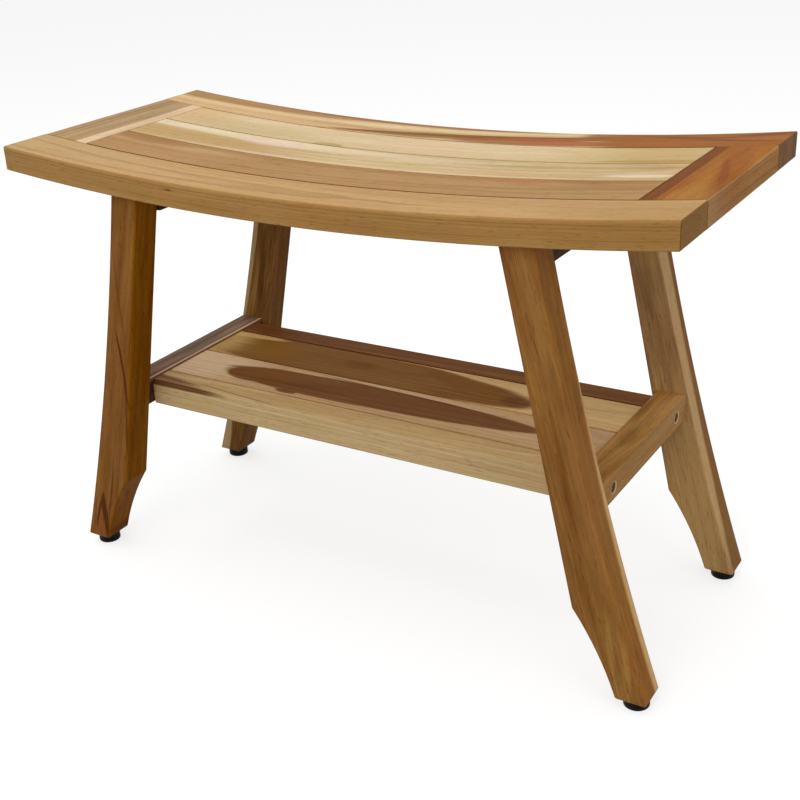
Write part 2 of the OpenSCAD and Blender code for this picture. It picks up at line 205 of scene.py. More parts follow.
grain = {
    "drift": (1.3, 9.0, 9.0),       # slow wander of the rings, per metre
    "ripple": (7.0, 46.0, 46.0),    # quicker wander
    "fibre": (26.0, 900.0, 900.0),
    "pore": (75.0, 1000.0, 1000.0),
    "cloud": (5.0, 25.0, 25.0),
    "fleck": (17.0, 150.0, 150.0),  # short streaks
    "hue": (12.0, 38.0, 38.0),
    "fibres": 0.80,                 # how strongly the fibres, pores and shifts of hue show
    "pores": 0.45,
    "hues": 0.55,
    "warm": (1.05, 0.95, 0.88),
    "green": (0.97, 1.02, 0.86),
    "rough": 0.50,
    "shine": 0.02,
    "bump": (0.22, 0.0004),         # strength, and depth in metres
    "sideFade": (0.0002, 0.0011),   # distances from a side between which the painted shade of its gap fades
    "endFade": (-0.0009, -0.0001),  # the same at a board's end, and the tone of the painted shade there
    "endShade": ("a07a50", 0.75),
}


def teak(name, look):
    m, w, shader = newMaterial("teak_" + name)
    seed = look["seed"]
    plank = w.add("ShaderNodeAttribute", {"attribute_name": "plank"}, out="Vector")
    here = plank.moved(seed * 1.37, seed * 0.71, seed * 0.43)
    s, a, b = plank.part(0), plank.part(1), plank.part(2)
    drift = here.scaled(*grain["drift"]).noise(2.0) - 0.5
    ripple = here.scaled(*grain["ripple"]).noise(2.0) - 0.5
    cloud = here.scaled(*grain["cloud"]).noise(3.0) - 0.5
    # the distance from the heart, counted in rings; band and fine are noise along that count
    heartA, heartB = look["heart"]
    leanA, leanB = look["lean"]
    ra = a - heartA + s * leanA + drift * look["sway"]
    rb = b - heartB + s * leanB + ripple * (look["sway"] * 0.12) + drift * (look["sway"] * 0.5)
    radius = (ra * ra + rb * rb).root()
    rings = radius / look["gap"] + ripple * 0.5
    band = (rings * 0.31 + seed).noise(2.0, 0.6, "1D")
    fine = (rings * 1.9 + seed * 2).noise(2.0, 0.7, "1D")
    # late wood is the dark end of a ring, on some rings only
    late = rings.calc("FRACT")
    late = late.between(0.35, 0.93) * (1.0 - late.between(0.93, 1.0))
    late = late * (rings * 0.5 + 3.3).noise(1.0, 0.5, "1D").between(0.3, 0.75)
    fibre = here.scaled(*grain["fibre"]).noise(2.0, 0.7)
    pore = here.scaled(*grain["pore"]).noise(1.0, 0.6).between(0.60, 0.74)
    fleck = here.scaled(*grain["fleck"]).noise(2.0, 0.6) - 0.5
    tone = 0.5 + (band - 0.5) * look["band"] + (fine - 0.5) * look["fine"] + cloud * look["cloud"]
    tone = tone + fleck * look["fleck"]
    dark, mid, pale, light, line = [linear(code) for code in look["tones"].split()]
    colour = tone.add("ShaderNodeValToRGB", {"stops": [
        (0.0, dark), (0.38, mid), (0.68, pale), (1.0, light)]}, {0: tone})
    edge = drift * 1.1 + ripple * 0.5 + cloud * 0.35
    for p in look.get("patches", []):
        # a long flame or stripe: an ellipse on the face with a wavering rim
        (along, across), (long, wide), slope = p["at"], p["size"], p["slope"]
        ds = (s - along) / long
        face = b if p["axis"] == "b" else a + b * p["turn"]
        aside = face - s * slope - (across - along * slope)
        half = (1.0 - ds * p["taper"]).calc("MAXIMUM", 0.15) * wide
        da = (aside + edge * p["wave"]) / half
        d = (ds * ds + da * da).root()
        mask = 1.0 - (d + (fine - 0.5) * p["comb"]).between(1.0 - p["soft"], 1.0 + p["soft"])
        colour = (mask * p["amount"]).blend(colour, linear(p["colour"]))
    for k in look.get("knots", []):
        # a dark eye with a swirled halo
        ds = (s - k["at"][0]) / k["size"][0]
        da = (a + b * k["turn"] - k["at"][1] + ripple * 0.006) / k["size"][1]
        d = (ds * ds + da * da).root()
        halo = 1.0 - d.between(0.5, 2.6)
        swirl = (d * 7.0 + ripple * 3.0).calc("SINE") * 0.5 + 0.5
        colour = (halo * (0.35 + swirl * 0.4)).blend(colour, linear(k["rim"]))
        colour = (1.0 - d.between(0.55, 1.15)).blend(colour, linear(k["colour"]))
    for spot, code, strength in look.get("sides", []):
        # painted shade on a long side of the board, from its arris down into the gap beside it
        wall = 1.0 - abs(a - spot).between(*grain["sideFade"])
        colour = (wall * strength).blend(colour, linear(code), "MULTIPLY")
    if "ends" in look:
        # painted shade at a board's end, in the gap where it meets the next board
        tip = (abs(s) - look["ends"]).between(*grain["endFade"])
        colour = (tip * grain["endShade"][1]).blend(colour, linear(grain["endShade"][0]), "MULTIPLY")
    hue = here.scaled(*grain["hue"]).noise(2.0)
    colour = (hue.between(0.50, 0.70) * grain["hues"]).blend(colour, colour.scaled(*grain["warm"]))
    colour = ((1.0 - hue.between(0.30, 0.50)) * grain["hues"]).blend(colour, colour.scaled(*grain["green"]))
    darker = (late * look["late"] + (fibre - 0.5) * grain["fibres"]).clip()
    colour = darker.blend(colour, line)
    colour = (pore * grain["pores"]).blend(colour, line, "MULTIPLY")
    for axis, face in look.get("tints", {}).items():
        # another face of the board, told by its normal, gets its own colour multiplier: painted light and
        # shade for how that face is lit, partly that face's own grain colour
        facing = w.add("ShaderNodeTexCoord", out="Normal").part("xyz".index(axis[1]))
        facing = (facing * (-1.0 if axis[0] == "-" else 1.0)).between(0.25, 0.50)
        colour = facing.blend(colour, colour.scaled(*balance[name + ":" + face]))
    colour = colour.scaled(*balance.get(name, (1.0, 1.0, 1.0)))
    rough = grain["rough"] + (fibre - 0.5) * 0.16 - cloud * 0.12 + pore * 0.12
    height = fibre * 0.6 - pore * 0.9 + late * 0.25
    feed(w.tree, shader, Base_Color=colour, Roughness=rough, Normal=height.bump(*grain["bump"]))
    shader.inputs["Specular IOR Level"].default_value = grain["shine"]
    return m


# Boards. A board is a rounded rectangle carried along its grain: station s along it, a across
# the face and b through it. place(s, a, b) bends it into the bench.

guard = 0.0008                  # each rounding has a row of points this close beside it
rowMargin = 0.006               # the plain rows of a board start this far from its ends
smallest = 0.00003              # of a rounding that is inset to nothing
sharpAngle = math.radians(32)   # sharper turns between faces show as an edge


def roundedProfile(halfA, halfB, corner, inset, steps):
    # counter-clockwise points (a, b) of a rectangle whose corners are arcs, each arc between two
    # guard points that keep the flats' shading flat; inset moves every side in
    points = []
    turn = np.linspace(0, np.pi / 2, steps + 1)
    beside = guard * 0.5
    for q, (sa, sb) in enumerate([(1, 1), (-1, 1), (-1, -1), (1, -1)]):
        r = max(corner[q] - inset, smallest)
        ang = turn + q * np.pi / 2
        arc = np.stack([sa * (halfA - inset - r) + r * np.cos(ang),
                        sb * (halfB - inset - r) + r * np.sin(ang)], 1)
        before = (np.sin(ang[0]) * beside, -np.cos(ang[0]) * beside)
        after = (-np.sin(ang[-1]) * beside, np.cos(ang[-1]) * beside)
        points += [arc[:1] + before, arc, arc[-1:] + after]
    return np.concatenate(points)


def boardMesh(name, s0, s1, halfA, halfB, place, corner, endRound=0.002,
              rows=2, steps=4, marks=(), grainOf=None):
    # one rounded rectangle at each station from s0 to s1, inset near the ends as a quarter circle
    # of radius endRound is; halfA may be a function of s, and marks are extra stations
    wide = halfA if callable(halfA) else (lambda s: halfA)
    turn = np.linspace(0, np.pi / 2, steps + 1)
    lead = [(0.0, endRound + guard)]
    lead += [(endRound * (1 - math.cos(t)), endRound * (1 - math.sin(t))) for t in turn]
    lead += [(endRound + guard, 0.0)]
    plainRows = sorted(set(list(np.linspace(s0 + rowMargin, s1 - rowMargin, rows)) + list(marks)))
    stations = [(s0 + d, i) for d, i in lead] + [(s, 0.0) for s in plainRows]
    stations += [(s1 - d, i) for d, i in lead[::-1]]
    rings = [roundedProfile(wide(s), halfB, corner, i, steps) for s, i in stations]
    count = len(rings[0])
    a, b = np.concatenate(rings).T
    s = np.repeat([s for s, _ in stations], count)
    xyz = np.stack(place(s, a, b), 1)
    return tubeMesh(name, xyz, count, np.stack([s, a, b] if grainOf is None else grainOf(*xyz.T), 1))


def markGrain(mesh, grainAt):
    mark = mesh.attributes.new("plank", "FLOAT_VECTOR", "POINT")
    mark.data.foreach_set("vector", np.asarray(grainAt, dtype=np.float32).ravel())


def tubeMesh(name, xyz, count, grainAt):
    # rings of count points, each joined to the next by quads, the first and last ring closed by a
    # face; all faces are turned outwards by the sign of the volume inside
    low = np.arange(len(xyz) - count).reshape(-1, count)
    after = np.roll(low, -1, axis=1)
    quads = np.stack([low, after, after + count, low + count], -1).reshape(-1, 4)
    caps = np.stack([np.arange(count)[::-1], np.arange(count) + len(xyz) - count])
    fans = [f[:, [0, i, i + 1]] for f in (quads, caps) for i in range(1, f.shape[1] - 1)]
    p, q, r = np.moveaxis(xyz[np.concatenate(fans)], 1, 0)
    if np.einsum("ij,ij->", p, np.cross(q, r)) < 0:
        quads, caps = quads[:, ::-1], caps[:, ::-1]
    mesh = bpy.data.meshes.new(name)
    mesh.from_pydata(xyz.tolist(), [], quads.tolist() + caps.tolist())
    markGrain(mesh, grainAt)
    mesh.polygons.foreach_set("use_smooth", np.ones(len(mesh.polygons), dtype=bool))
    mesh.update()
    mesh.set_sharp_from_angle(angle=sharpAngle)
    return addObject(name, mesh)


def turned(name, rings, centre, axis="Z", sides=48):
    # a profile of (radius, height) pairs carried round an axis, closed at both ends
    ang = np.linspace(0, 2 * np.pi, sides, endpoint=False)
    r, h = np.array(rings).T[:, :, None]
    u, v, t = r * np.cos(ang), r * np.sin(ang), h + 0 * ang
    xyz = np.stack({"Z": (u, v, t), "X": (t, u, v)}[axis], -1).reshape(-1, 3) + centre
    return tubeMesh(name, xyz, sides, xyz)


def carve(obj, cutters, grainOf):
    # cuts each cutter out of obj, keeps the result as obj's own mesh and marks its grain again
    for c in cutters:
        cut = obj.modifiers.new("cut", "BOOLEAN")
        cut.operation, cut.solver, cut.object = "DIFFERENCE", "EXACT", c
    bpy.context.view_layer.update()
    done = bpy.data.meshes.new_from_object(obj.evaluated_get(bpy.context.evaluated_depsgraph_get()))
    obj.modifiers.clear()
    obj.data = done
    spots = np.empty(len(done.vertices) * 3, dtype=np.float32)
    done.vertices.foreach_get("co", spots)
    if "plank" in done.attributes:
        done.attributes.remove(done.attributes["plank"])
    markGrain(done, np.stack(grainOf(*spots.reshape(-1, 3).astype(float).T), 1))
    done.set_sharp_from_angle(angle=sharpAngle)
    for c in cutters:
        bpy.data.objects.remove(c)


def paint(obj, material):
    obj.data.materials.clear()
    obj.data.materials.append(material)


def standIn(obj, node, body, material):
    paint(obj, material)
    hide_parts(node)
    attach(obj, body)


# Sizes shared by several pieces, as the solids have them.
seat = {"halfLen": 0.381, "halfDepth": 0.1665, "top": 0.501, "thick": 0.026, "dip": 0.0227,
        "railWide": 0.064, "endWide": 0.060, "gap": 0.0015}
legs = {"front": 0.1505, "thick": 0.037, "topIn": 0.21, "topWide": 0.035,
        "footOut": 0.3635, "footWide": 0.0325, "footTop": 0.0125, "kneeBack": 0.046, "kneeHigh": 0.102,
        "outerBow": 0.0074, "scoopBow": 0.0038, "leanFrom": 0.38, "leanEase": 1.5, "middle": 0.24,
        "edge": 0.003, "holeRadius": 0.0061, "holeLow": 0.008, "holeHigh": 0.030}
crossbar = {"in": 0.212, "wide": 0.035, "high": 0.027, "screwRadius": 0.0041, "screwDeep": 0.006}
stretcher = {"in": 0.268, "wide": 0.032, "top": 0.2215, "high": 0.030, "edge": 0.0018,
             "holeRadius": 0.0051, "chamfer": 0.0010, "holeDeep": 0.008}
shelf = {"top": 0.2195, "end": 0.268, "edge": 0.102, "railWide": 0.0305, "railHigh": 0.030,
         "slatWide": 0.06925, "slatThick": 0.018, "slatMid": 0.035375, "cleatThick": 0.011,
         "cleatHalf": 0.011, "cleatX": 0.257, "boltY": 0.08675, "boltZ": 0.206}
batten = {"halfLen": 0.1205, "half": 0.020, "halfThick": 0.0075}
crisp, tight, soft, outside = 0.0003, 0.0006, 0.0010, 0.0026    # radii of the boards' arrises

seatR = (seat["halfLen"] ** 2 + seat["dip"] ** 2) / (2 * seat["dip"])
seatZ = seat["top"] - seat["dip"] + seatR
underR = seatR + seat["thick"]


def seatTopAt(x):
    # the seat's top and underside are arcs about one axis, at height seatZ
    return seatZ - np.sqrt(seatR ** 2 - x ** 2)


def seatUnderAt(x):
    return seatZ - np.sqrt(underR ** 2 - x ** 2)


def betweenFaces(x, b):
    low, high = seatUnderAt(x), seatTopAt(x)
    return low + (high - low) * (b / (seat["thick"] / 2) + 1) / 2


def onSeat(yMid):
    # a board of the seat that runs along X: s is x, a is y, b goes between the two curved faces
    return lambda s, a, b: (s, yMid + a, betweenFaces(s, b))


def acrossSeat(xMid):
    # a board of the seat that runs along Y: s is y, a is x
    return lambda s, a, b: (xMid + a, s, betweenFaces(xMid + a, b))


def alongX(yMid, zMid):
    return lambda s, a, b: (s, yMid + a, zMid + b)


def alongY(xMid, zMid):
    return lambda s, a, b: (xMid + a, s, zMid + b)


def bearing(x):
    # the slanted plane of the leg tops, which touches the seat's underside along one line
    touch = crossbar["in"] + crossbar["wide"] / 2
    slope = touch / math.sqrt(underR ** 2 - touch ** 2)
    return float(seatUnderAt(touch)) + slope * (x - touch)


def underSeat(side, low):
    # a crossbar runs along Y, from the level low up to the bearing plane
    def place(s, a, b):
        x = crossbar["in"] + crossbar["wide"] / 2 + a
        inner, outer = bearing(crossbar["in"]), bearing(crossbar["in"] + crossbar["wide"])
        high = inner + (outer - inner) * (a / crossbar["wide"] + 0.5)
        return side * x, s, low + (high - low) * (b / (crossbar["high"] / 2) + 1) / 2
    return place


def circleThrough(p, q, bow):
    # centre and radius of the circle through p and q that lies to the right of the line p to q
    d = math.dist(p, q)
    r = d * d / (8 * bow) + bow / 2
    n = ((q[1] - p[1]) / d, -(q[0] - p[0]) / d)
    return (p[0] + q[0]) / 2 + (r - bow) * n[0], (p[1] + q[1]) / 2 + (r - bow) * n[1], r


legTopOut = legs["topIn"] + legs["topWide"]
legTopZ = bearing((legs["topIn"] + legTopOut) / 2)
footIn = legs["footOut"] - legs["footWide"]
footMid = legs["footOut"] - legs["footWide"] / 2
kneeIn = footIn - legs["kneeBack"]
outerArc = circleThrough((legs["footOut"], legs["footTop"]), (legTopOut, bearing(legTopOut)),
                         legs["outerBow"])
scoopArc = circleThrough((kneeIn, legs["kneeHigh"]), (footIn, legs["footTop"]), legs["scoopBow"])


def legOuter(z):
    # one arc from the foot's outer corner to the top's
    return outerArc[0] - np.sqrt(outerArc[2] ** 2 - (z - outerArc[1]) ** 2)


def legInner(z):
    # straight from the top to the knee, then the scoop's arc
    top = bearing(legs["topIn"])
    straight = legs["topIn"] + (kneeIn - legs["topIn"]) * (top - z) / (top - legs["kneeHigh"])
    scoop = scoopArc[0] + np.sqrt(np.maximum(scoopArc[2] ** 2 - (z - scoopArc[1]) ** 2, 0))
    return np.where(z > legs["kneeHigh"], straight, scoop)


def legPlace(side, yMid):
    def place(s, a, b):
        # rows near the top lean so that the last one lies in the bearing plane
        lean = np.clip((s - legs["leanFrom"]) / (legTopZ - legs["leanFrom"]), 0, 1) ** legs["leanEase"]
        x0 = (legInner(s) + legOuter(s)) / 2 + a
        z = s + lean * (bearing(x0) - legTopZ)
        wide = (legOuter(z) - legInner(z)) / (legOuter(s) - legInner(s))
        return side * ((legInner(z) + legOuter(z)) / 2 + a * wide), yMid + b, z
    return place


def legGrain(side, yMid):
    # the leg's blank: straight grain from the foot to the top
    tilt = math.atan2(legs["footOut"] - legTopOut, bearing(legTopOut) - legs["footTop"])
    c, t = math.cos(tilt), math.sin(tilt)

    def grainOf(x, y, z):
        u = side * x - (legs["footOut"] + legTopOut) / 2
        v = z - legs["middle"]
        return v * c - u * t, u * c + v * t, y - yMid
    return grainOf


def makeLeg(name, side, yMid):
    def half(s):
        return float(legOuter(s) - legInner(s)) / 2
    knee = [legs["kneeHigh"] + d for d in (-0.003, -0.0015, 0.0, 0.0015, 0.003)]
    leg = boardMesh(name, legs["footTop"], legTopZ, half, legs["thick"] / 2, legPlace(side, yMid),
                    corner=(legs["edge"],) * 4, endRound=0.0015, rows=44, steps=5, marks=knee,
                    grainOf=legGrain(side, yMid))
    hole = [(legs["holeRadius"], legs["holeLow"]), (legs["holeRadius"], legs["holeHigh"])]
    carve(leg, [turned("hole", hole, (side * footMid, yMid, 0))], legGrain(side, yMid))
    return leg


endHalf = seat["halfDepth"] - seat["railWide"]
seatSlatWide = (2 * endHalf - 4 * seat["gap"]) / 3
slatMids = [-endHalf + seat["gap"] + seatSlatWide / 2 + i * (seatSlatWide + seat["gap"]) for i in range(3)]
endIn = seat["halfLen"] - seat["endWide"]
slatStop = endIn - 0.0008       # the seat's slats end here on the right
frameHalf = legs["front"] - legs["thick"]
legMid = legs["front"] - legs["thick"] / 2

# One look per board. tones are its colours, dark to light, and that of its lines, as its main
# face shows them, and balance turns them into the wood's own. heart is the log's middle (across,
# through), lean how the board lies in the log, gap the rings' spacing in metres. sides and ends
# say where its sides and shown ends lie, which get painted shade from the gaps there, and tints
# which other faces have a balance of their own, painted light and shade for how each face is lit.
plain = {
    "heart": (0.02, -0.09), "lean": (0.02, 0.012), "gap": 0.0030, "sway": 0.018,
    "band": 1.1, "fine": 0.85, "late": 0.42, "cloud": 0.7, "fleck": 0.55,
}
legWood = {"band": 0.7, "fine": 0.6, "late": 0.30, "cloud": 1.3, "fleck": 1.1, "tints": {"+x": "side"}}
gapShade = "7a5230"      # painted shade on the walls inside the gaps
faintGapShade = "c0a57c"    # the same painted shade, fainter, where the boards fit closer


def look(**changes):
    return {**plain, **changes}


# A patch is an ellipse: its middle (along, across) and half sizes, in metres, and its colour.
# slope is its drift across per metre along, taper how it narrows, turn how it shifts through the
# board, wave and comb how its rim wavers and follows the grain; axis "b" puts it on a side.
plainPatch = {"amount": 0.6, "soft": 0.35, "slope": 0.0, "taper": 0.0, "turn": 0.0,
              "wave": 0.008, "comb": 0.35, "axis": "a"}


def patch(along, across, long, wide, code, **changes):
    return {**plainPatch, "at": (along, across), "size": (long, wide), "colour": code, **changes}


def boltHoleLightAndShade(rim, wall):
    # painted highlight on the chamfer of each bolt's hole, paler than the face, and painted shade on its
    # wall, darker
    high = shelf["boltZ"] - stretcher["top"] + stretcher["high"] / 2
    marks = ((rim, stretcher["holeRadius"] + 0.0014), (wall, stretcher["holeRadius"] + 0.0005))
    return [patch(y, high, r, r, code, axis="b", amount=0.85, soft=0.1, comb=0.1, wave=0.0)
            for y in (-shelf["boltY"], shelf["boltY"]) for code, r in marks]


# Multipliers of red, green and blue: per board, and per other face relative to the main one; a face's
# multiplier is painted light and shade for how that face is lit, partly that face's own grain colour.
balance = {
    "seat_front_rail": (1.03, 1.07, 1.11),
    "seat_front_slat": (0.89, 0.91, 0.89),
    "seat_middle_slat": (1.00, 1.03, 1.20),
    "seat_rear_slat": (0.96, 0.94, 0.93),
    "seat_rear_rail": (0.97, 0.94, 0.89),
    "seat_left_end_rail": (1.06, 1.08, 1.26),
    "seat_right_end_rail": (0.79, 0.71, 0.27),
    "left_front_leg": (1.19, 1.18, 1.23),
    "right_front_leg": (1.32, 1.37, 1.68),
    "left_rear_leg": (2.04, 2.21, 2.06),
    "right_rear_leg": (1.97, 2.10, 2.01),
    "left_stretcher": (3.66, 3.89, 4.09),
    "right_stretcher": (2.04, 2.19, 2.01),
    "shelf_front_rail": (1.47, 1.40, 1.33),
    "shelf_front_slat": (1.55, 1.45, 1.24),
    "shelf_rear_slat": (1.67, 1.63, 1.30),
    "shelf_rear_rail": (1.79, 1.72, 1.02),
    "seat_front_rail:front": (0.72, 0.64, 0.46),
    "seat_front_rail:end": (0.57, 0.47, 0.29),
    "seat_right_end_rail:end": (1.31, 1.90, 6.00),
    "seat_rear_rail:end": (0.66, 0.89, 2.20),
    "left_front_leg:side": (1.09, 0.94, 0.14),
    "right_front_leg:side": (1.09, 1.02, 0.88),
    "left_rear_leg:side": (0.99, 0.93, 0.86),
    "right_rear_leg:side": (0.83, 0.85, 0.84),
    # painted shade: the left stretcher's inner face is darkened because it lies in shade
    "left_stretcher:inner": (0.26, 0.18, 0.16),
    "right_stretcher:side": (0.78, 0.82, 1.04),
    "shelf_front_rail:front": (0.80, 0.84, 0.93),
}
